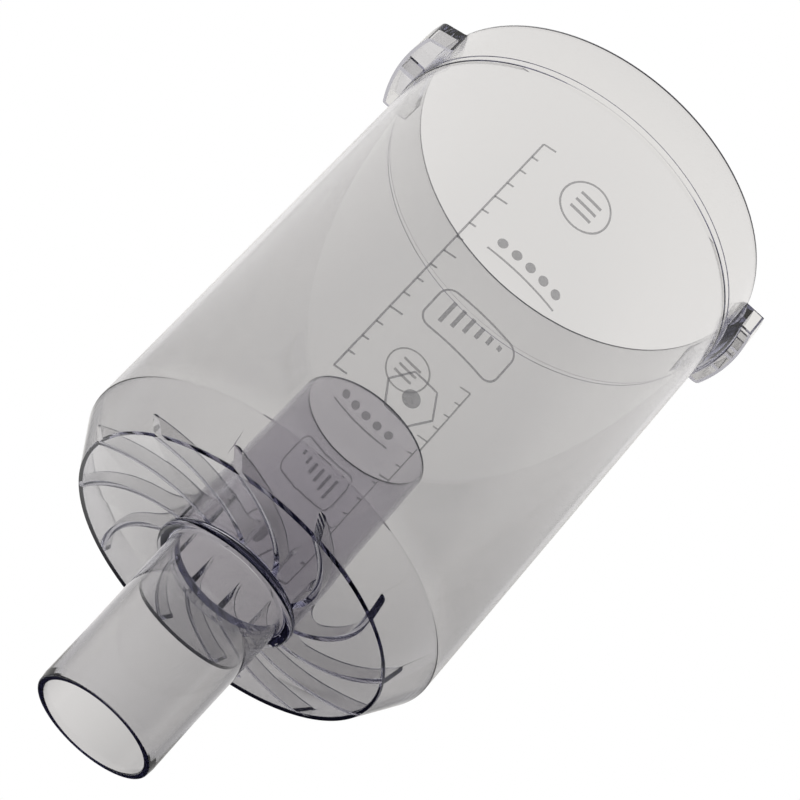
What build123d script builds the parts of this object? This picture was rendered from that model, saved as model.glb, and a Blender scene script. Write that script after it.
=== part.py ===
import os
from math import atan, cos, radians, sin, sqrt, tan

from build123d import *

# Clear plastic dust bin, one moulding. All sizes are in millimetres and degrees.
# The origin is the centre of the mouth rim and +Z runs along the axis to the neck.

# Mouth rim: a band set outward from the wall, with a straight seat inside it
rim_radius = 75.0
rim_thickness = 2.1
rim_band_height = 20.3
rim_band_draft = 0.5
rim_step = 0.6
rim_chamfer = 0.4
seat_depth = 22.8

# Wall: drafted alike on both faces, so it keeps one thickness
wall_height = 201.0
wall_draft = 0.9
wall_thickness = 2.0

# Closed end: a cone that leads to a flat floor
cone_height = 16.5
floor_radius = 61.5
cone_thickness = 2.1
floor_thickness = 2.2

# Chimney: an open tube that stands on the floor inside the bin
chimney_height = 73.3
chimney_radius = 26.4
chimney_draft = 0.6
chimney_thickness = 2.4
chimney_chamfer = 0.4

# Collar and neck: the outlet outside the floor, with a straight land near its end for a seal
collar_radius = 27.4
collar_height = 2.5
collar_chamfer = 1.1
shoulder_thickness = 3.6
neck_length = 65.0
neck_radius = 22.4
neck_land = 20.0
neck_draft = 1.1
neck_bore_radius = 19.8
neck_bore_draft = 1.0
lead_in_length = 3.0
lead_in_depth = 0.4
neck_chamfer = 0.4

# Swirl ribs: curved walls on the inside of the floor, each with a concave rise to the chimney
rib_count = 12
rib_phase = 20.8
rib_sweep = 41.4
rib_thickness = 2.2
rib_draft = 2.0
rib_height = 5.3
rib_rise = 7.0
rib_rise_reach = 8.5

# Lugs: they stand on opposite sides of the rim, and share one height and one reach
lug_reach = 8.0
lug_start = 1.8
lug_height = 10.2
lug_sink = 0.15

# Catch lug: a tray open toward the neck, with one square end and one slanted end that sweeps into the rim
catch_end = 22.5
catch_tip = 24.0
catch_foot = 27.0
catch_corner_round = 1.0
catch_tip_round = 3.0
catch_foot_round = 3.0
catch_floor = 3.6
catch_wall = 1.3
catch_rib = 2.2

# Hinge lug: a box open toward the mouth, with a solid web along the rim that slopes up from the box's top
hinge_near_end = 22.5
hinge_far_end = 20.5
hinge_round = 3.0
hinge_top = 1.4
hinge_wall = 1.0
hinge_web = 3.2
hinge_slope_width = 3.8
hinge_slope_height = 5.0
hinge_rib = 1.6
hinge_rib_places = [-9.0, -4.0, 6.0]

# Heights of the main faces above the mouth
floor_z = wall_height + cone_height
floor_inner_z = floor_z - floor_thickness
chimney_z = floor_inner_z - chimney_height
shoulder_z = floor_z + collar_height
shoulder_inner_z = shoulder_z - shoulder_thickness
neck_z = shoulder_z + neck_length
lead_in_z = neck_z - lead_in_length
land_z = lead_in_z - neck_land

# Radii of the rim band and of the wall
seat_radius = rim_radius - rim_thickness
band_end_radius = rim_radius - rim_band_height * tan(radians(rim_band_draft))
wall_start_radius = band_end_radius - rim_step
wall_slope = tan(radians(wall_draft))
wall_end_radius = wall_start_radius - (wall_height - rim_band_height) * wall_slope
wall_at_seat = wall_start_radius - (seat_depth - rim_band_height) * wall_slope
core_start_radius = wall_at_seat - wall_thickness
core_end_radius = wall_end_radius - wall_thickness

# The cone's inner face, and where the wall's inner face runs into it
cone_slope = (wall_end_radius - floor_radius) / cone_height
cone_skin = cone_thickness / cos(atan(cone_slope))
cone_start_radius = wall_end_radius - cone_skin
knee_drop = (cone_start_radius - core_end_radius) / (cone_slope - wall_slope)
knee_inner_z = wall_height + knee_drop
knee_inner_radius = core_end_radius - knee_drop * wall_slope
floor_inner_radius = cone_start_radius - (floor_inner_z - wall_height) * cone_slope

# Radii of the chimney and of the neck
chimney_slope = tan(radians(chimney_draft))
chimney_top_radius = chimney_radius - chimney_height * chimney_slope
chimney_bore_radius = chimney_radius - chimney_thickness
chimney_top_bore = chimney_top_radius - chimney_thickness
neck_root_radius = neck_radius + (land_z - shoulder_z) * tan(radians(neck_draft))
bore_root_radius = neck_bore_radius + (neck_z - shoulder_inner_z) * tan(radians(neck_bore_draft))

# The wall section, from the rim outside, over the closed end and back along the inside
section = [
    (rim_radius, 0),
    (band_end_radius, rim_band_height),
    (wall_start_radius, rim_band_height),
    (wall_end_radius, wall_height),
    (floor_radius, floor_z),
    (collar_radius, floor_z),
    (collar_radius, shoulder_z),
    (neck_root_radius, shoulder_z),
    (neck_radius, land_z),
    (neck_radius, lead_in_z),
    (neck_radius - lead_in_depth, neck_z),
    (neck_bore_radius, neck_z),
    (bore_root_radius, shoulder_inner_z),
    (chimney_bore_radius, shoulder_inner_z),
    (chimney_top_bore, chimney_z),
    (chimney_top_radius, chimney_z),
    (chimney_radius, floor_inner_z),
    (floor_inner_radius, floor_inner_z),
    (knee_inner_radius, knee_inner_z),
    (core_start_radius, seat_depth),
    (seat_radius, seat_depth),
    (seat_radius, 0),
]

# The swirl rib's line on the floor, from inside the chimney wall to inside the cone
rib_root = chimney_radius - chimney_thickness / 2
rib_middle = (chimney_radius + floor_radius) / 2
rib_tip = floor_inner_radius + rib_height * cone_slope + cone_skin
rib_turn = rib_sweep / (floor_radius - chimney_radius)
rib_line = []
for radius in (rib_root, rib_middle, rib_tip):
    angle = radians(rib_phase - rib_turn * (floor_radius - radius))
    rib_line.append((radius * cos(angle), radius * sin(angle)))

# The swirl rib's section along its length: level over the floor, concave at the chimney
rib_top_z = floor_inner_z - rib_height
rib_peak_z = rib_top_z - rib_rise
rib_base_z = floor_inner_z + floor_thickness / 2
rib_peak_radius = chimney_radius - (floor_inner_z - rib_peak_z) * chimney_slope
cone_middle = cone_start_radius + cone_skin / 2
rib_end_base = cone_middle - (rib_base_z - wall_height) * cone_slope
rib_end_top = cone_middle - (rib_top_z - wall_height) * cone_slope
rib_peak_thickness = rib_thickness - 2 * (rib_base_z - rib_peak_z) * tan(radians(rib_draft))

with BuildPart() as swirl_rib:
    with BuildSketch(Plane.XY.offset(rib_peak_z)):
        with BuildLine(mode=Mode.PRIVATE) as rib_path:
            ThreePointArc(*rib_line)
        SlotArc(rib_path.edge(), rib_peak_thickness)
    extrude(amount=rib_base_z - rib_peak_z, taper=-rib_draft)
    with BuildSketch(Plane.XZ):
        with BuildLine():
            Polyline(
                (rib_peak_radius, rib_peak_z),
                (rib_root, rib_peak_z),
                (rib_root, rib_base_z),
                (rib_end_base, rib_base_z),
                (rib_end_top, rib_top_z),
                (rib_peak_radius + rib_rise_reach, rib_top_z),
            )
            TangentArc(
                (rib_peak_radius + rib_rise_reach, rib_top_z),
                (rib_peak_radius, rib_peak_z),
                tangent=(-1, 0),
            )
        make_face()
    revolve(axis=Axis.Z, mode=Mode.INTERSECT)

# The catch lug's slanted end, a line from the rim to the lug's outer edge
lug_top_z = lug_start + lug_height
lug_root_radius = rim_radius - rim_thickness / 2
band_slope = tan(radians(rim_band_draft))
lug_foot_radius = rim_radius - lug_top_z * band_slope - lug_sink
lug_radius = rim_radius + lug_reach
catch_tip_x = sqrt(lug_radius**2 - catch_tip**2)
catch_foot_x = sqrt(rim_radius**2 - catch_foot**2)
catch_corner_x = sqrt(lug_radius**2 - catch_end**2)
catch_slant = (catch_foot - catch_tip) / (catch_tip_x - catch_foot_x)
catch_root_x = catch_foot_x - rim_thickness
catch_length = catch_end + catch_foot + 2 * catch_foot_round


def catch_bounds(inset):
    """Corners of the area between the catch lug's two ends, each end moved inward by the inset."""
    root_y = inset - catch_foot - catch_slant * (catch_foot_x - catch_root_x)
    outer_y = inset - catch_foot + catch_slant * (lug_radius - catch_foot_x)
    return [
        (catch_root_x, root_y),
        (lug_radius, outer_y),
        (lug_radius, catch_end - inset),
        (catch_root_x, catch_end - inset),
    ]


with BuildPart() as catch_lug:
    with BuildSketch(Plane.XY.offset(lug_start)) as catch_outline:
        Circle(lug_radius)
        Polygon(*catch_bounds(0), align=None, mode=Mode.INTERSECT)
        Circle(lug_foot_radius)
        corners = catch_outline.vertices()
        fillet(corners.sort_by_distance((catch_corner_x, catch_end, 0))[0], catch_corner_round)
        corners = catch_outline.vertices()
        fillet(corners.sort_by_distance((catch_tip_x, -catch_tip, 0))[0], catch_tip_round)
        corners = catch_outline.vertices()
        fillet(corners.sort_by_distance((catch_foot_x, -catch_foot, 0))[0], catch_foot_round)
        Circle(lug_root_radius, mode=Mode.SUBTRACT)
        with Locations((rim_radius, catch_end)):
            Rectangle(rim_radius, catch_length, align=(Align.CENTER, Align.MAX), mode=Mode.INTERSECT)
    extrude(amount=lug_height)
    with BuildSketch(Plane.XY.offset(lug_start + catch_floor)) as catch_pocket:
        Circle(lug_radius - catch_wall)
        Polygon(*catch_bounds(catch_wall), align=None, mode=Mode.INTERSECT)
        corners = catch_pocket.vertices()
        fillet(corners.sort_by_distance((catch_tip_x, -catch_tip, 0))[0], catch_tip_round - catch_wall)
        with Locations((rim_radius, 0)):
            Rectangle(rim_radius, catch_rib, mode=Mode.SUBTRACT)
    extrude(amount=lug_height, mode=Mode.SUBTRACT)

# The hinge lug lies from its near end, at -Y, to its far end
hinge_length = hinge_near_end + hinge_far_end
hinge_middle = (hinge_far_end - hinge_near_end) / 2
hinge_far_x = -sqrt(lug_radius**2 - hinge_far_end**2)
hinge_apex_z = lug_top_z + hinge_slope_height
hinge_apex_radius = rim_radius - hinge_apex_z * band_slope - lug_sink
over_hinge = [
    (hinge_apex_radius, hinge_apex_z),
    (rim_radius + hinge_slope_width, lug_top_z),
    (lug_radius + hinge_wall, lug_top_z),
    (lug_radius + hinge_wall, hinge_apex_z),
]

with BuildPart() as hinge_lug:
    with BuildSketch(Plane.XY.offset(lug_start)) as hinge_outline:
        Circle(lug_radius)
        Circle(lug_root_radius, mode=Mode.SUBTRACT)
        with Locations((-rim_radius, hinge_middle)):
            Rectangle(rim_radius, hinge_length, mode=Mode.INTERSECT)
        corners = hinge_outline.vertices()
        fillet(corners.sort_by_distance((hinge_far_x, hinge_far_end, 0))[0], hinge_round)
    extrude(amount=hinge_apex_z - lug_start)
    with BuildSketch(Plane.XZ):
        with BuildLine():
            Polyline(*over_hinge, close=True)
        make_face()
    revolve(axis=Axis.Z, mode=Mode.SUBTRACT)
    with BuildSketch(Plane.XY.offset(lug_start)):
        Circle(lug_radius - hinge_wall)
        Circle(rim_radius + hinge_web, mode=Mode.SUBTRACT)
        with Locations((-rim_radius, hinge_middle)):
            Rectangle(rim_radius, hinge_length - 2 * hinge_wall, mode=Mode.INTERSECT)
        for place in hinge_rib_places:
            with Locations((-rim_radius, place)):
                Rectangle(rim_radius, hinge_rib, mode=Mode.SUBTRACT)
    extrude(amount=lug_height - hinge_top, mode=Mode.SUBTRACT)

with BuildPart() as dust_bin:
    with BuildSketch(Plane.XZ) as wall_section:
        with BuildLine():
            Polyline(*section, close=True)
        make_face()
        chamfer(wall_section.vertices().group_by(Axis.Y)[0], rim_chamfer)
        chamfer(wall_section.vertices().group_by(Axis.Y)[-1], neck_chamfer)
        chimney_top = wall_section.vertices().filter_by_position(Axis.Y, chimney_z, chimney_z)
        chamfer(chimney_top, chimney_chamfer)
        shoulder = wall_section.vertices().filter_by_position(Axis.Y, shoulder_z, shoulder_z)
        chamfer(shoulder.sort_by(Axis.X)[-1], collar_chamfer)
    revolve(axis=Axis.Z)
    with PolarLocations(0, rib_count):
        add(swirl_rib.part)
    add(catch_lug.part)
    add(hinge_lug.part)

dust_bin.part.label = "dust_bin"

os.makedirs("parts", exist_ok=True)
export_step(dust_bin.part, "parts/dust_bin.step")
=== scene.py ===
import math

import bmesh
import bpy
from mathutils import Matrix, Vector


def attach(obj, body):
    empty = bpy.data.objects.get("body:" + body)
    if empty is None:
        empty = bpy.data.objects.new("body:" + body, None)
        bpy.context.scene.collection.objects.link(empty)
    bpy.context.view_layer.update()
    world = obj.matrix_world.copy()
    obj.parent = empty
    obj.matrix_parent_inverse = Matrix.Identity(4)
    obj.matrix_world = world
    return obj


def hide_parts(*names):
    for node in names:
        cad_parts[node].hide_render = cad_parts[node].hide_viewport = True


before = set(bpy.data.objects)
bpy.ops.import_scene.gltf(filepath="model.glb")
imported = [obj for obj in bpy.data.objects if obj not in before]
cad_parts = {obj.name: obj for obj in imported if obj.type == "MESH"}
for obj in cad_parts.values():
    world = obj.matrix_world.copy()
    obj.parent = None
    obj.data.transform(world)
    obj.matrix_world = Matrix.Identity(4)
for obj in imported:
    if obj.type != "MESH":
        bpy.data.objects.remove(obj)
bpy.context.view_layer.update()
scene = bpy.context.scene

# Sizes are in millimetres and degrees, as in the CAD source. Meshes are made in metres.
MM = 0.001

# How finely round shapes are divided, and the angle from which an edge is drawn sharp
SEGMENTS = 360
ARC_STEP = 7.0
LUG_ARC_STEPS = 24
SHARP_ANGLE = 28.0

# Mouth rim: a band with a step outside, and a seat with a slightly coned ledge inside
rim_radius = 75.0
rim_thickness = 2.1
rim_band_height = 20.3
rim_band_draft = 0.5
rim_step = 0.6
rim_round = 0.4
step_round = 0.1
seat_depth = 22.8
seat_round = 0.2
seat_relief = 0.3
seat_dip = 0.2
ledge_rise = 0.6

# A low ring on the wall, next to the band, halves the step between them
ring_step = 0.3
ring_height = 2.2
ring_slope = 0.45
ring_round = 0.8

# Wall
wall_height = 201.0
wall_draft = 0.9
wall_thickness = 2.0

# Closed end: its inner knee lies lower than its outer one
cone_height = 16.5
cone_thickness = 2.1
floor_radius = 61.5
floor_thickness = 2.2
floor_round = 0.2
floor_inner_round = 0.4
knee_round = 0.3
knee_drop = 1.3

# Chimney, collar and neck
chimney_height = 73.3
chimney_radius = 26.4
chimney_draft = 0.6
chimney_thickness = 2.4
chimney_round = 0.4
collar_radius = 27.4
collar_height = 2.5
collar_round = 1.6
shoulder_thickness = 3.6
shoulder_round = 1.0
neck_length = 65.0
neck_radius = 22.4
neck_land = 20.0
neck_draft = 1.1
neck_bore_radius = 19.8
neck_bore_draft = 1.0
neck_bore_round = 0.5
lead_in_length = 3.0
lead_in_depth = 0.4
lead_in_round = 0.15
neck_round = 0.4

# Swirl ribs
rib_count = 12
rib_phase = 20.8
rib_sweep = 41.4
rib_thickness = 2.2
rib_draft = 2.0
rib_height = 5.3
rib_rise = 7.0
rib_rise_reach = 8.5
rib_top_round = 0.6

# Lugs
lug_reach = 8.0
lug_start = 1.8
lug_height = 10.2
lug_sink = 0.15
catch_end = 22.5
catch_tip = 24.0
catch_foot = 27.0
catch_corner_round = 1.0
catch_tip_round = 3.0
catch_foot_round = 3.0
catch_floor = 3.6
catch_wall = 1.3
catch_rib = 2.2
hinge_near_end = 22.5
hinge_far_end = 20.5
hinge_round = 3.0
hinge_top = 1.4
hinge_wall = 1.0
hinge_web = 3.2
hinge_slope_width = 3.8
hinge_slope_height = 5.0
hinge_rib = 1.6
hinge_rib_places = [-9.0, -4.0, 6.0]


def slope(degrees):
    return math.tan(math.radians(degrees))


# Heights and radii that follow from the sizes
floor_z = wall_height + cone_height
floor_inner_z = floor_z - floor_thickness
chimney_z = floor_inner_z - chimney_height
shoulder_z = floor_z + collar_height
shoulder_inner_z = shoulder_z - shoulder_thickness
neck_z = shoulder_z + neck_length
lead_in_z = neck_z - lead_in_length
land_z = lead_in_z - neck_land
seat_radius = rim_radius - rim_thickness
band_end_radius = rim_radius - rim_band_height * slope(rim_band_draft)
wall_start_radius = band_end_radius - rim_step
ring_radius = band_end_radius - ring_step
ring_z = rim_band_height + ring_height
wall_end_radius = wall_start_radius - (wall_height - rim_band_height) * slope(wall_draft)
wall_at_seat = wall_start_radius - (seat_depth - rim_band_height) * slope(wall_draft)
core_start_radius = wall_at_seat - wall_thickness
core_end_radius = wall_end_radius - wall_thickness
cone_slope = (wall_end_radius - floor_radius) / cone_height
cone_skin = cone_thickness / math.cos(math.atan(cone_slope))
cone_start_radius = wall_end_radius - cone_skin
knee_inner_z = wall_height - knee_drop
knee_inner_radius = core_end_radius + knee_drop * slope(wall_draft)
floor_inner_radius = cone_start_radius - (floor_inner_z - wall_height) * cone_slope
chimney_top_radius = chimney_radius - chimney_height * slope(chimney_draft)
neck_root_radius = neck_radius + (land_z - shoulder_z) * slope(neck_draft)
bore_root_radius = neck_bore_radius + (neck_z - shoulder_inner_z) * slope(neck_bore_draft)
lug_radius = rim_radius + lug_reach
lug_top_z = lug_start + lug_height
lug_root_radius = rim_radius - rim_thickness / 2


# Mesh tools

def rounded(corners):
    """Points of a closed outline whose corners (x, y, round) are turned into arcs."""
    points = []
    for i, (x, y, radius) in enumerate(corners):
        if radius <= 0:
            points.append((x, y))
            continue
        corner = Vector((x, y))
        before = (Vector(corners[i - 1][:2]) - corner).normalized()
        after = (Vector(corners[(i + 1) % len(corners)][:2]) - corner).normalized()
        half = before.angle(after) / 2
        centre = corner + (before + after).normalized() * radius / math.sin(half)
        start = corner + before * radius / math.tan(half) - centre
        turn = math.pi - 2 * half
        if before.x * after.y - before.y * after.x > 0:
            turn = -turn
        steps = max(2, math.ceil(abs(turn) / math.radians(ARC_STEP)))
        for step in range(steps + 1):
            point = centre + Matrix.Rotation(turn * step / steps, 2) @ start
            points.append((point.x, point.y))
    return points


def solid(name, verts, faces):
    """A mesh object, with its faces turned one way, from points in millimetres."""
    mesh = bpy.data.meshes.new(name)
    mesh.from_pydata([Vector(v) * MM for v in verts], [], faces)
    shape = bmesh.new()
    shape.from_mesh(mesh)
    bmesh.ops.recalc_face_normals(shape, faces=shape.faces)
    shape.to_mesh(mesh)
    shape.free()
    piece = bpy.data.objects.new(name, mesh)
    scene.collection.objects.link(piece)
    return piece


def revolve(name, outline):
    """The solid that a closed (radius, z) outline sweeps around the Z axis."""
    count = len(outline)
    verts = []
    faces = []
    for s in range(SEGMENTS):
        angle = 2 * math.pi * s / SEGMENTS
        verts += [(r * math.cos(angle), r * math.sin(angle), z) for r, z in outline]
        base = s * count
        other = (s + 1) % SEGMENTS * count
        for i in range(count):
            j = (i + 1) % count
            faces.append((base + i, other + i, other + j, base + j))
    return solid(name, verts, faces)


def loft(name, rings):
    """The solid through a row of rings that all have as many points, capped at both ends."""
    count = len(rings[0])
    verts = [point for ring in rings for point in ring]
    faces = [tuple(range(count - 1, -1, -1)), tuple(range(len(verts) - count, len(verts)))]
    for base in range(0, len(verts) - count, count):
        for i in range(count):
            j = (i + 1) % count
            faces.append((base + i, base + j, base + count + j, base + count + i))
    return solid(name, verts, faces)


def prism(name, outline, low, high):
    return loft(name, [[(x, y, z) for x, y in outline] for z in (low, high)])


def combine(piece, tool, operation):
    """Join, cut or clip a piece with a tool, which is used up."""
    modifier = piece.modifiers.new("combine", "BOOLEAN")
    modifier.operation = operation
    modifier.solver = "MANIFOLD"
    modifier.object = tool
    depsgraph = bpy.context.evaluated_depsgraph_get()
    mesh = bpy.data.meshes.new_from_object(piece.evaluated_get(depsgraph))
    piece.modifiers.remove(modifier)
    piece.data = mesh
    bpy.data.objects.remove(tool)


def arc(radius, first, last, side=1):
    """Points on a circle about the Z axis, from one Y to another, on the +X or the -X side."""
    start = math.asin(first / radius)
    end = math.asin(last / radius)
    angles = [start + (end - start) * i / LUG_ARC_STEPS for i in range(LUG_ARC_STEPS + 1)]
    return [(side * radius * math.cos(a), radius * math.sin(a)) for a in angles]


def clear_of(points, corner, distance):
    return [p for p in points if math.dist(p, corner) > distance]


def sharp(points):
    """Corners without a round, for an outline."""
    return [(*point, 0) for point in points]


# The bin's section, with its rounds, from the rim outside over the closed end and back inside

def bin_section():
    return rounded([
        (rim_radius, 0, rim_round),
        (band_end_radius, rim_band_height, step_round),
        (ring_radius, rim_band_height, step_round),
        (ring_radius, ring_z, ring_round),
        (wall_start_radius, ring_z + ring_slope, step_round),
        (wall_end_radius, wall_height, knee_round),
        (floor_radius, floor_z, floor_round),
        (collar_radius, floor_z, 0),
        (collar_radius, shoulder_z, collar_round),
        (neck_root_radius, shoulder_z, 0),
        (neck_radius, land_z, 0),
        (neck_radius, lead_in_z, lead_in_round),
        (neck_radius - lead_in_depth, neck_z, neck_round),
        (neck_bore_radius, neck_z, neck_round),
        (bore_root_radius, shoulder_inner_z, neck_bore_round),
        (chimney_radius - chimney_thickness, shoulder_inner_z, shoulder_round),
        (chimney_top_radius - chimney_thickness, chimney_z, chimney_round),
        (chimney_top_radius, chimney_z, chimney_round),
        (chimney_radius, floor_inner_z, 0),
        (floor_inner_radius, floor_inner_z, floor_inner_round),
        (knee_inner_radius, knee_inner_z, knee_round),
        (core_start_radius, seat_depth + ledge_rise, seat_round),
        (seat_radius + seat_relief, seat_depth - seat_dip, seat_round),
        (seat_radius, 0, rim_round),
    ])


# Swirl ribs: each follows a spiral on the floor, level at first, with a concave rise to the chimney

rib_base_z = floor_inner_z + floor_thickness / 2
rib_top_z = floor_inner_z - rib_height
rib_peak_z = rib_top_z - rib_rise
rib_root_radius = chimney_radius - chimney_thickness / 2
rib_peak_radius = chimney_radius - (floor_inner_z - rib_peak_z) * slope(chimney_draft)
rib_rise_radius = (rib_rise_reach**2 + rib_rise**2) / (2 * rib_rise)
cone_middle = cone_start_radius + cone_skin / 2
rib_end_radius = cone_middle - (rib_top_z - wall_height) * cone_slope
rib_turn = math.radians(rib_sweep) / (floor_radius - chimney_radius)
RIB_FINE_STEP = 0.35
RIB_STEP = 0.9
RIB_SIDE_STEPS = 4
RIB_ROUND_STEPS = 5
RIB_LEAST = 0.05


def rib_top(radius):
    into_rise = rib_peak_radius + rib_rise_reach - radius
    if into_rise <= 0:
        return rib_top_z
    if radius <= rib_peak_radius:
        return rib_peak_z
    return rib_top_z - rib_rise_radius + math.sqrt(rib_rise_radius**2 - into_rise**2)


def rib_half_width(z):
    return rib_thickness / 2 - (rib_base_z - z) * slope(rib_draft)


def rib_ring(radius, phase):
    """The rib's section across its line, at one radius."""
    angle = phase - rib_turn * (floor_radius - radius)
    outward = Vector((math.cos(angle), math.sin(angle)))
    around = Vector((-math.sin(angle), math.cos(angle)))
    along = (outward + around * radius * rib_turn).normalized()
    across = Vector((-along.y, along.x))
    base = min(rib_base_z, wall_height + (cone_middle - radius) / cone_slope)
    top = min(rib_top(radius), base - RIB_LEAST)
    top_round = min(rib_top_round, (base - top) / 2)
    shoulder = top + top_round
    side = []
    for step in range(RIB_SIDE_STEPS + 1):
        z = base + (shoulder - base) * step / RIB_SIDE_STEPS
        side.append((rib_half_width(z), z))
    for step in range(1, RIB_ROUND_STEPS + 1):
        bend = math.pi / 2 * step / RIB_ROUND_STEPS
        width = rib_half_width(shoulder) - top_round * (1 - math.cos(bend))
        side.append((width, shoulder - top_round * math.sin(bend)))
    ring = side + [(-width, z) for width, z in reversed(side)]
    middle = outward * radius
    return [(*(middle + across * width), z) for width, z in ring]


def swirl_rib(index):
    phase = math.radians(rib_phase + 360 * index / rib_count)
    radii = [rib_root_radius]
    while radii[-1] < rib_end_radius - RIB_LEAST:
        fine = radii[-1] < rib_peak_radius + rib_rise_reach
        step = RIB_FINE_STEP if fine else RIB_STEP
        radii.append(min(radii[-1] + step, rib_end_radius - RIB_LEAST))
    return loft("swirl_rib", [rib_ring(radius, phase) for radius in radii])


# Catch lug: a tray open toward the neck, with a slanted end that sweeps into the rim

lug_foot_radius = rim_radius - lug_top_z * slope(rim_band_draft) - lug_sink
catch_tip_x = math.sqrt(lug_radius**2 - catch_tip**2)
catch_foot_x = math.sqrt(rim_radius**2 - catch_foot**2)
catch_slant = (catch_foot - catch_tip) / (catch_tip_x - catch_foot_x)
FILLET_CLEAR = 1.5
FILLET_STEPS = 12


def catch_outline(inset, inner_radius):
    """The tray's outline, or its pocket's, which lies an inset further in."""
    outer = lug_radius - inset
    tip_round = catch_tip_round - inset
    corner_round = max(catch_corner_round - inset, 0)
    run = arc(outer, inset - catch_tip, catch_end - inset)
    tip = run[0]
    corner = run[-1]
    run = clear_of(run, tip, FILLET_CLEAR * tip_round)
    run = clear_of(run, corner, FILLET_CLEAR * catch_corner_round)
    foot_y = tip[1] - catch_slant * (tip[0] - math.sqrt(inner_radius**2 - catch_foot**2))
    inner = arc(inner_radius, foot_y, catch_end - inset)
    return rounded([(*tip, tip_round)] + sharp(run) + [(*corner, corner_round)] + sharp(reversed(inner)))


def catch_fillet():
    """The concave sweep between the slanted end and the rim."""
    along = Vector((1, catch_slant)).normalized()
    away = Vector((along.y, -along.x))
    foot = Vector((catch_foot_x, -catch_foot))
    reach = lug_foot_radius + catch_foot_round
    offset = foot + away * catch_foot_round
    middle = -offset.dot(along)
    centre = offset + along * (middle + math.sqrt(middle**2 - offset.length_squared + reach**2))
    on_line = centre - away * catch_foot_round
    on_rim = centre.normalized() * lug_foot_radius
    start = on_line - centre
    turn = start.angle_signed(on_rim - centre)
    sweep = []
    for step in range(FILLET_STEPS + 1):
        sweep.append(centre + Matrix.Rotation(-turn * step / FILLET_STEPS, 2) @ start)
    inside = on_rim.normalized() * lug_root_radius
    root = foot.normalized() * lug_root_radius
    return [tuple(point) for point in sweep] + [tuple(inside), tuple(root)]


def catch_lug():
    lug = prism("catch_lug", catch_outline(0, lug_root_radius), lug_start, lug_top_z)
    combine(lug, prism("fillet", catch_fillet(), lug_start, lug_top_z), "UNION")
    pocket_z = lug_start + catch_floor
    open_z = lug_top_z + lug_height
    pocket = prism("pocket", catch_outline(catch_wall, seat_radius), pocket_z, open_z)
    half = catch_rib / 2
    rib_start = seat_radius / 2
    rib = [(rib_start, -half), (lug_radius, -half), (lug_radius, half), (rib_start, half)]
    combine(pocket, prism("rib", rib, lug_start, open_z + lug_height), "DIFFERENCE")
    combine(lug, pocket, "DIFFERENCE")
    return lug


# Hinge lug: a box open toward the mouth, with a solid web along the rim that slopes up from its top

def hinge_lug():
    apex_z = lug_top_z + hinge_slope_height
    apex_radius = rim_radius - apex_z * slope(rim_band_draft) - lug_sink
    lug = revolve("hinge_lug", [
        (lug_root_radius, lug_start),
        (lug_radius, lug_start),
        (lug_radius, lug_top_z),
        (rim_radius + hinge_slope_width, lug_top_z),
        (apex_radius, apex_z),
        (lug_root_radius, apex_z),
    ])
    outer = arc(lug_radius + lug_sink, -hinge_near_end, hinge_far_end, side=-1)
    far_corner = outer[-1]
    outer = clear_of(outer, far_corner, FILLET_CLEAR * hinge_round)
    inner = arc(lug_root_radius - lug_sink, -hinge_near_end, hinge_far_end, side=-1)
    outline = sharp(outer) + [(*far_corner, hinge_round)] + sharp(reversed(inner))
    combine(lug, prism("clip", rounded(outline), 0, apex_z + lug_height), "INTERSECT")
    stops = [-hinge_near_end + hinge_wall]
    for place in hinge_rib_places:
        stops += [place - hinge_rib / 2, place + hinge_rib / 2]
    stops.append(hinge_far_end - hinge_wall)
    for low, high in zip(stops[::2], stops[1::2]):
        cell = arc(lug_radius - hinge_wall, low, high, side=-1)
        cell += reversed(arc(rim_radius + hinge_web, low, high, side=-1))
        combine(lug, prism("cell", cell, 0, lug_top_z - hinge_top), "DIFFERENCE")
    return lug


def dust_bin():
    piece = revolve("dust_bin_fine", bin_section())
    for index in range(rib_count):
        combine(piece, swirl_rib(index), "UNION")
    combine(piece, catch_lug(), "UNION")
    combine(piece, hinge_lug(), "UNION")
    piece.data.shade_smooth()
    piece.data.set_sharp_from_angle(angle=math.radians(SHARP_ANGLE))
    return piece


# Print: plain grey marks on two opposite sides of the wall, as thin ink just outside it.
# A place in the drawing is a distance around the wall and a height above the mouth.

PRINT_STROKE = 0.75
PRINT_LIFT = 0.04
PRINT_THICKNESS = 0.05
PRINT_STEP = 1.2
PRINT_MIDDLE = -4.0
CIRCLE_STEPS = 48
DISC_STEPS = 24

scale_place = 21.0
scale_low = 52.0
scale_high = 172.0
scale_parts = 16
scale_long_every = 4
scale_tick = 2.6
scale_long_tick = 5.0

badge_z = 62.0
badge_radius = 9.5
badge_bar_count = 3
badge_bar_pitch = 3.5
badge_bar_half = 4.5
badge_bar_width = 1.2

dot_z = 96.0
dot_count = 5
dot_pitch = 6.0
dot_radius = 1.9
rule_z = 101.0
rule_half = 15.0

chart_z = 131.0
chart_width = 32.0
chart_height = 17.0
chart_round = 4.5
chart_bar_z = 126.0
chart_bar_count = 6
chart_bar_pitch = 4.0
chart_bar_length = 2.0
chart_bar_growth = 1.5
chart_bar_width = 1.5

hexagon_z = 164.0
hexagon_radius = 9.5
hexagon_sides = 6
hexagon_dot_radius = 3.2


def circle_path(middle, radius, sides=CIRCLE_STEPS):
    angles = [2 * math.pi * i / sides for i in range(sides)]
    return [(middle[0] + radius * math.cos(a), middle[1] + radius * math.sin(a)) for a in angles]


def frame_path(middle, width, height, radius):
    """A rectangle with round corners."""
    x = width / 2
    y = height / 2
    corners = [(x, y, radius), (-x, y, radius), (-x, -y, radius), (x, -y, radius)]
    return [(middle[0] + u, middle[1] + v) for u, v in rounded(corners)]


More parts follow.
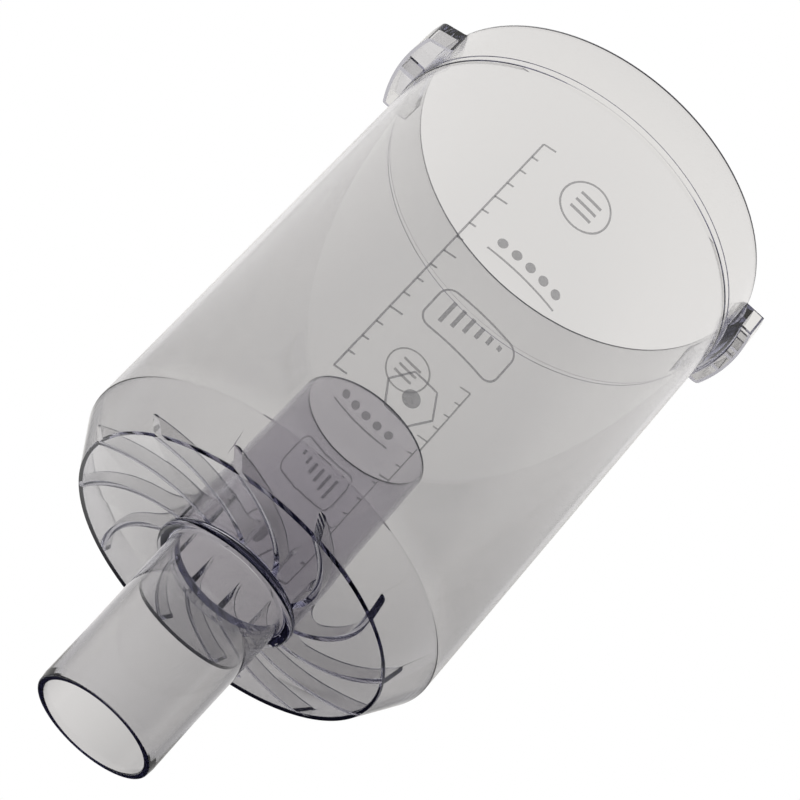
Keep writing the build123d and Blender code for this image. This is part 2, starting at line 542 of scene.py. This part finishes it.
def spaced(middle, count, pitch):
    """Evenly spaced places on both sides of a middle."""
    first = middle - pitch * (count - 1) / 2
    return [first + pitch * i for i in range(count)]


def divided(path, closed):
    """The path with points added, so that it can follow the round wall."""
    ends = path[1:] + path[:1] if closed else path[1:]
    points = []
    for start, end in zip(path, ends):
        steps = max(1, math.ceil(math.dist(start, end) / PRINT_STEP))
        for step in range(steps):
            points.append(Vector(start).lerp(Vector(end), step / steps))
    return points if closed else points + [Vector(path[-1])]


class Ink:
    """A flat drawing that is laid on the wall as one mesh."""

    def __init__(self):
        self.points = []
        self.faces = []

    def stroke(self, path, closed=False, width=PRINT_STROKE):
        line = divided(path, closed)
        count = len(line)
        base = len(self.points)
        for i, point in enumerate(line):
            before = line[i - 1] if closed or i else point
            after = line[(i + 1) % count] if closed or i < count - 1 else point
            along = (after - before).normalized()
            across = Vector((-along.y, along.x)) * width / 2
            self.points += [point + across, point - across]
        for i in range(count if closed else count - 1):
            a = base + 2 * i
            b = base + 2 * ((i + 1) % count)
            self.faces.append((a, a + 1, b + 1, b))

    def disc(self, middle, radius):
        base = len(self.points)
        self.points += [Vector(p) for p in circle_path(middle, radius, DISC_STEPS)]
        self.faces.append(tuple(range(base, base + DISC_STEPS)))

    def piece(self, name, side):
        verts = []
        for around, z in self.points:
            radius = wall_start_radius - (z - rim_band_height) * slope(wall_draft) + PRINT_LIFT
            angle = side + around / radius
            verts.append((radius * math.cos(angle), radius * math.sin(angle), z))
        piece = solid(name, verts, self.faces)
        skin = piece.modifiers.new("ink", "SOLIDIFY")
        skin.thickness = PRINT_THICKNESS * MM
        skin.offset = 1.0
        return piece


def draw_scale(ink):
    """A level scale."""
    ink.stroke([(scale_place, scale_low), (scale_place, scale_high)])
    for i in range(scale_parts + 1):
        z = scale_low + (scale_high - scale_low) * i / scale_parts
        tick = scale_tick if i % scale_long_every else scale_long_tick
        ink.stroke([(scale_place, z), (scale_place - tick, z)])


def draw_badge(ink):
    """A ring with three bars."""
    ink.stroke(circle_path((PRINT_MIDDLE, badge_z), badge_radius), closed=True)
    for z in spaced(badge_z, badge_bar_count, badge_bar_pitch):
        ends = [(PRINT_MIDDLE - badge_bar_half, z), (PRINT_MIDDLE + badge_bar_half, z)]
        ink.stroke(ends, width=badge_bar_width)


def draw_dots(ink):
    """A row of dots over a rule."""
    for place in spaced(PRINT_MIDDLE, dot_count, dot_pitch):
        ink.disc((place, dot_z), dot_radius)
    ink.stroke([(PRINT_MIDDLE - rule_half, rule_z), (PRINT_MIDDLE + rule_half, rule_z)])


def draw_chart(ink):
    """A frame with bars that grow."""
    ink.stroke(frame_path((PRINT_MIDDLE, chart_z), chart_width, chart_height, chart_round), closed=True)
    for i, place in enumerate(spaced(PRINT_MIDDLE, chart_bar_count, chart_bar_pitch)):
        bar_end = chart_bar_z + chart_bar_length + chart_bar_growth * i
        ink.stroke([(place, chart_bar_z), (place, bar_end)], width=chart_bar_width)


def draw_hexagon(ink):
    """A hexagon around a dot."""
    ink.stroke(circle_path((PRINT_MIDDLE, hexagon_z), hexagon_radius, hexagon_sides), closed=True)
    ink.disc((PRINT_MIDDLE, hexagon_z), hexagon_dot_radius)


def wall_print(name, side):
    ink = Ink()
    for draw in (draw_scale, draw_badge, draw_dots, draw_chart, draw_hexagon):
        draw(ink)
    return ink.piece(name, side)


# Materials

class Nodes:
    """The node tree of a material or a world, with short ways to add to it."""

    def __init__(self, tree):
        self.nodes = tree.nodes
        self.links = tree.links

    def feed(self, socket, value):
        """Link a socket to another, or set it to a value."""
        if isinstance(value, bpy.types.NodeSocket):
            self.links.new(value, socket)
        else:
            socket.default_value = value

    def add(self, kind, **values):
        """A new node, with its inputs fed by name."""
        new = self.nodes.new(kind)
        for key, value in values.items():
            self.feed(new.inputs[key.replace("_", " ")], value)
        return new

    def ramp(self, value, span, ends):
        """A smooth change between two ends while a value runs through a span."""
        new = self.add("ShaderNodeMapRange", Value=value, From_Min=span[0], From_Max=span[1],
                       To_Min=ends[0], To_Max=ends[1])
        new.interpolation_type = "SMOOTHSTEP"
        return new.outputs["Result"]

    def math(self, operation, *values):
        new = self.nodes.new("ShaderNodeMath")
        new.operation = operation
        for socket, value in zip(new.inputs, values):
            self.feed(socket, value)
        return new.outputs["Value"]

    def product(self, first, *others):
        for other in others:
            first = self.math("MULTIPLY", first, other)
        return first

    def vector_math(self, operation, output, *values):
        new = self.nodes.new("ShaderNodeVectorMath")
        new.operation = operation
        for socket, value in zip(new.inputs, values):
            self.feed(socket, value)
        return new, new.outputs[output]

    def mix(self, factor, first, second):
        """A colour between two, each a socket or red, green and blue."""
        new = self.nodes.new("ShaderNodeMix")
        new.data_type = "RGBA"
        self.links.new(factor, new.inputs["Factor"])
        color_inputs = [socket for socket in new.inputs if socket.type == "RGBA"]
        for socket, value in zip(color_inputs, (first, second)):
            plain = isinstance(value, tuple)
            self.feed(socket, (*value, 1) if plain else value)
        return next(socket for socket in new.outputs if socket.type == "RGBA")


def new_material(name):
    material = bpy.data.materials.new(name)
    material.use_nodes = True
    return material, Nodes(material.node_tree), material.node_tree.nodes["Principled BSDF"]


FALLING = (1.0, 0.0)
RISING = (0.0, 1.0)

# Tint of the plastic for each crossing of its surface, by place, with painted light and shade: the
# places differ only to paint how light or dark each one looks, over the plastic's own tint
WALL_TINT_AND_PAINTED_LIGHT = (0.773, 0.769, 0.758)
END_TINT_AND_PAINTED_LIGHT = (0.885, 0.88, 0.867)
NECK_TINT_AND_PAINTED_LIGHT = (0.835, 0.83, 0.82)
CHIMNEY_TINT_AND_PAINTED_LIGHT = (0.82, 0.80, 0.823)

# Where one tint and its painted light pass into the next, and how far the ribs' matt finish reaches
MASK_EDGE = 0.2
MASK_GAP = 0.3
END_FADE_BEFORE = 12.0
END_FADE_AFTER = 2.0
NECK_FADE = 2.0
RIB_MASK_RISE = 1.0

PLASTIC_IOR = 1.53
ABSORB_COLOR = (0.2, 0.2, 0.38, 1)
ABSORB_DENSITY = 50.0
RIB_ROUGHNESS = 0.14
HAZE_SCALE = 26.0
HAZE_DETAIL = 4.0
HAZE_MIX = 0.6
HAZE_SPAN = (0.45, 0.75)
HAZE_ROUGHNESS = (0.0, 0.02)
WAVE_SCALE = 32.0
WAVE_DETAIL = 1.0
WAVE_STRENGTH = 0.25
WAVE_DEPTH = 0.02


def span_mm(start, width):
    return start * MM, (start + width) * MM


def clear_plastic():
    """Clear moulded plastic, its tint set lighter or darker by place as painted light and shade, with
    matt ribs, faint haze and faint flow waves.
    """
    material, tree, shader = new_material("clear_plastic")
    shader.inputs["Transmission Weight"].default_value = 1.0
    shader.inputs["IOR"].default_value = PLASTIC_IOR
    place = tree.add("ShaderNodeTexCoord").outputs["Object"]
    axes = tree.add("ShaderNodeSeparateXYZ", Vector=place).outputs
    flat = tree.add("ShaderNodeCombineXYZ", X=axes["X"], Y=axes["Y"]).outputs["Vector"]
    radius = tree.vector_math("LENGTH", "Value", flat)[1]
    height = axes["Z"]

    around_chimney = span_mm(chimney_radius + MASK_GAP, MASK_EDGE)
    before_floor = tree.ramp(height, span_mm(floor_inner_z - MASK_GAP, MASK_EDGE), FALLING)
    chimney = tree.product(tree.ramp(radius, around_chimney, FALLING), before_floor)
    end_start = wall_height - END_FADE_BEFORE
    closed_end = tree.ramp(height, span_mm(end_start, END_FADE_BEFORE + END_FADE_AFTER), RISING)
    neck = tree.ramp(height, span_mm(shoulder_z, NECK_FADE), RISING)
    # Painted light and shade: each place gets its own base colour, set to how light or dark that place
    # looks
    tint_and_light = tree.mix(closed_end, WALL_TINT_AND_PAINTED_LIGHT, END_TINT_AND_PAINTED_LIGHT)
    tint_and_light = tree.mix(neck, tint_and_light, NECK_TINT_AND_PAINTED_LIGHT)
    tint_and_light = tree.mix(chimney, tint_and_light, CHIMNEY_TINT_AND_PAINTED_LIGHT)
    tree.feed(shader.inputs["Base Color"], tint_and_light)

    haze = tree.add("ShaderNodeTexNoise", Vector=place, Scale=HAZE_SCALE, Detail=HAZE_DETAIL,
                    Roughness=HAZE_MIX)
    polish = tree.ramp(haze.outputs["Fac"], HAZE_SPAN, HAZE_ROUGHNESS)
    past_rib_tops = tree.ramp(height, span_mm(rib_top_z - RIB_MASK_RISE, MASK_EDGE), RISING)
    past_chimney = tree.ramp(radius, around_chimney, RISING)
    rib_limit = span_mm(floor_inner_radius - MASK_GAP - MASK_EDGE, MASK_EDGE)
    before_cone = tree.ramp(radius, rib_limit, (RIB_ROUGHNESS, 0.0))
    ribs = tree.product(past_rib_tops, before_floor, past_chimney, before_cone)
    tree.feed(shader.inputs["Roughness"], tree.math("ADD", polish, ribs))

    waves = tree.add("ShaderNodeTexNoise", Vector=place, Scale=WAVE_SCALE, Detail=WAVE_DETAIL)
    bump = tree.add("ShaderNodeBump", Height=waves.outputs["Fac"], Strength=WAVE_STRENGTH,
                    Distance=WAVE_DEPTH * MM)
    tree.feed(shader.inputs["Normal"], bump.outputs["Normal"])
    absorb = tree.add("ShaderNodeVolumeAbsorption", Color=ABSORB_COLOR, Density=ABSORB_DENSITY)
    tree.feed(tree.nodes["Material Output"].inputs["Volume"], absorb.outputs["Volume"])
    return material


# The ink lets light through, and each mark has an outer and an inner face
INK_COVER = 0.35
INK_DARK = (0.30, 0.30, 0.31)
INK_PALE = (0.40, 0.40, 0.41)
INK_GRAIN_SCALE = 900.0
INK_GRAIN_DETAIL = 3.0
INK_GRAIN_SPAN = (0.3, 0.7)
INK_ROUGHNESS = (0.5, 0.7)


def print_ink():
    """Grey screen ink, matt, slightly uneven in colour and finish."""
    material, tree, shader = new_material("print_ink")
    shader.inputs["Alpha"].default_value = INK_COVER
    place = tree.add("ShaderNodeTexCoord").outputs["Object"]
    noise = tree.add("ShaderNodeTexNoise", Vector=place, Scale=INK_GRAIN_SCALE, Detail=INK_GRAIN_DETAIL)
    grain = noise.outputs["Fac"]
    tree.feed(shader.inputs["Base Color"], tree.mix(grain, INK_DARK, INK_PALE))
    tree.feed(shader.inputs["Roughness"], tree.ramp(grain, INK_GRAIN_SPAN, INK_ROUGHNESS))
    return material


# The object

bin_piece = dust_bin()
bin_piece.data.materials.clear()
bin_piece.data.materials.append(clear_plastic())
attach(bin_piece, "root")
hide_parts("dust_bin")

ink_material = print_ink()
for print_name, print_side in (("print_front", -math.pi / 2), ("print_back", math.pi / 2)):
    print_piece = wall_print(print_name, print_side)
    print_piece.data.materials.append(ink_material)
    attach(print_piece, "root")

# Stage: a light table. The floor is lit, and all that lies above it is a dim studio with one soft box.
# Seen straight on both are white. What the plastic shows of them varies by place.
# Distances on the floor are in metres.
WHITE = (1.0, 1.0, 1.0)
LIGHT = (1.0, 0.985, 0.96)
FRONT = (0.42, 0.42, 0.44)
FLOOR_SIZE = 12.0
FRONT_SPAN = (-0.22, -0.05)
FAR_SPAN = (0.05, 0.45)
FAR_LEVELS = (1.06, 0.84)
SLANT_SPAN = (-0.04, 0.04)
SLANT_LEVELS = (0.84, 1.10)
SIDE_SPAN = (0.12, 0.4)
SIDE_LEVELS = (1.0, 0.66)
SHADE = (0.026, 0.026, 0.053)
HORIZON = (0.6, 0.6, 0.6)
HORIZON_SPAN = (-0.02, 0.3)
BOX_DIRECTION = (0.35, 0.79, 0.5)
BOX_EDGE = (0.93, 0.975)
BOX_LIGHT = (1.2, 1.2, 1.2)


def white_to_camera(tree, color):
    """The colour, replaced by white where the camera looks at the stage itself."""
    direct = tree.add("ShaderNodeLightPath").outputs["Is Camera Ray"]
    return tree.mix(direct, color, WHITE)


def light_floor():
    bpy.ops.mesh.primitive_plane_add(size=FLOOR_SIZE, location=(0, 0, 0))
    floor = bpy.context.object
    floor.name = "floor"
    material, tree, shader = new_material("floor")
    shader.inputs["Base Color"].default_value = (0, 0, 0, 1)
    shader.inputs["Specular IOR Level"].default_value = 0.0
    shader.inputs["Emission Strength"].default_value = 1.0
    place = tree.add("ShaderNodeNewGeometry").outputs["Position"]
    axes = tree.add("ShaderNodeSeparateXYZ", Vector=place).outputs
    front = tree.ramp(axes["Y"], FRONT_SPAN, RISING)
    far = tree.ramp(axes["Y"], FAR_SPAN, FAR_LEVELS)
    slant = tree.ramp(tree.product(axes["X"], axes["Y"]), SLANT_SPAN, SLANT_LEVELS)
    side = tree.ramp(tree.math("ABSOLUTE", axes["X"]), SIDE_SPAN, SIDE_LEVELS)
    scale, lit = tree.vector_math("SCALE", "Vector", LIGHT)
    tree.feed(scale.inputs["Scale"], tree.product(far, slant, side))
    color = white_to_camera(tree, tree.mix(front, FRONT, lit))
    tree.feed(shader.inputs["Emission Color"], color)
    floor.data.materials.append(material)


def dim_studio():
    world = bpy.data.worlds.new("studio")
    scene.world = world
    world.use_nodes = True
    tree = Nodes(world.node_tree)
    direction = tree.add("ShaderNodeTexCoord").outputs["Generated"]
    height = tree.add("ShaderNodeSeparateXYZ", Vector=direction).outputs["Z"]
    studio = tree.mix(tree.ramp(height, HORIZON_SPAN, RISING), HORIZON, SHADE)
    toward_box = Vector(BOX_DIRECTION).normalized()
    toward = tree.vector_math("DOT_PRODUCT", "Value", direction, toward_box)[1]
    studio = tree.mix(tree.ramp(toward, BOX_EDGE, RISING), studio, BOX_LIGHT)
    tree.feed(tree.nodes["Background"].inputs["Color"], white_to_camera(tree, studio))


light_floor()
dim_studio()

# Camera at the photograph's viewing angle, fitted to the circles seen in it
CAMERA_PLACE = (-1.7, -659.5, 545.9)
CAMERA_RIGHT = (-0.7378, -0.3657, -0.5674)
CAMERA_UP = (0.6751, -0.3997, -0.6200)
CAMERA_LENS = 101.93
CAMERA_SENSOR = 36.0
CAMERA_NEAR = 0.01
CAMERA_FAR = 50.0

camera_data = bpy.data.cameras.new("camera")
camera = bpy.data.objects.new("camera", camera_data)
scene.collection.objects.link(camera)
camera_data.sensor_width = CAMERA_SENSOR
camera_data.lens = CAMERA_LENS
camera_data.clip_start = CAMERA_NEAR
camera_data.clip_end = CAMERA_FAR
up = Vector(CAMERA_UP).normalized()
back = Vector(CAMERA_RIGHT).cross(up).normalized()
turn = Matrix((up.cross(back), up, back)).transposed()
camera.matrix_world = Matrix.Translation(Vector(CAMERA_PLACE) * MM) @ turn.to_4x4()
scene.camera = camera

# Light passes through many clear walls on its way
BOUNCES = 32
scene.view_settings.view_transform = "Standard"
scene.cycles.max_bounces = BOUNCES
scene.cycles.transmission_bounces = BOUNCES
scene.cycles.glossy_bounces = BOUNCES
scene.cycles.transparent_max_bounces = BOUNCES
scene.cycles.caustics_refractive = True
scene.cycles.caustics_reflective = True
scene.cycles.use_denoising = True
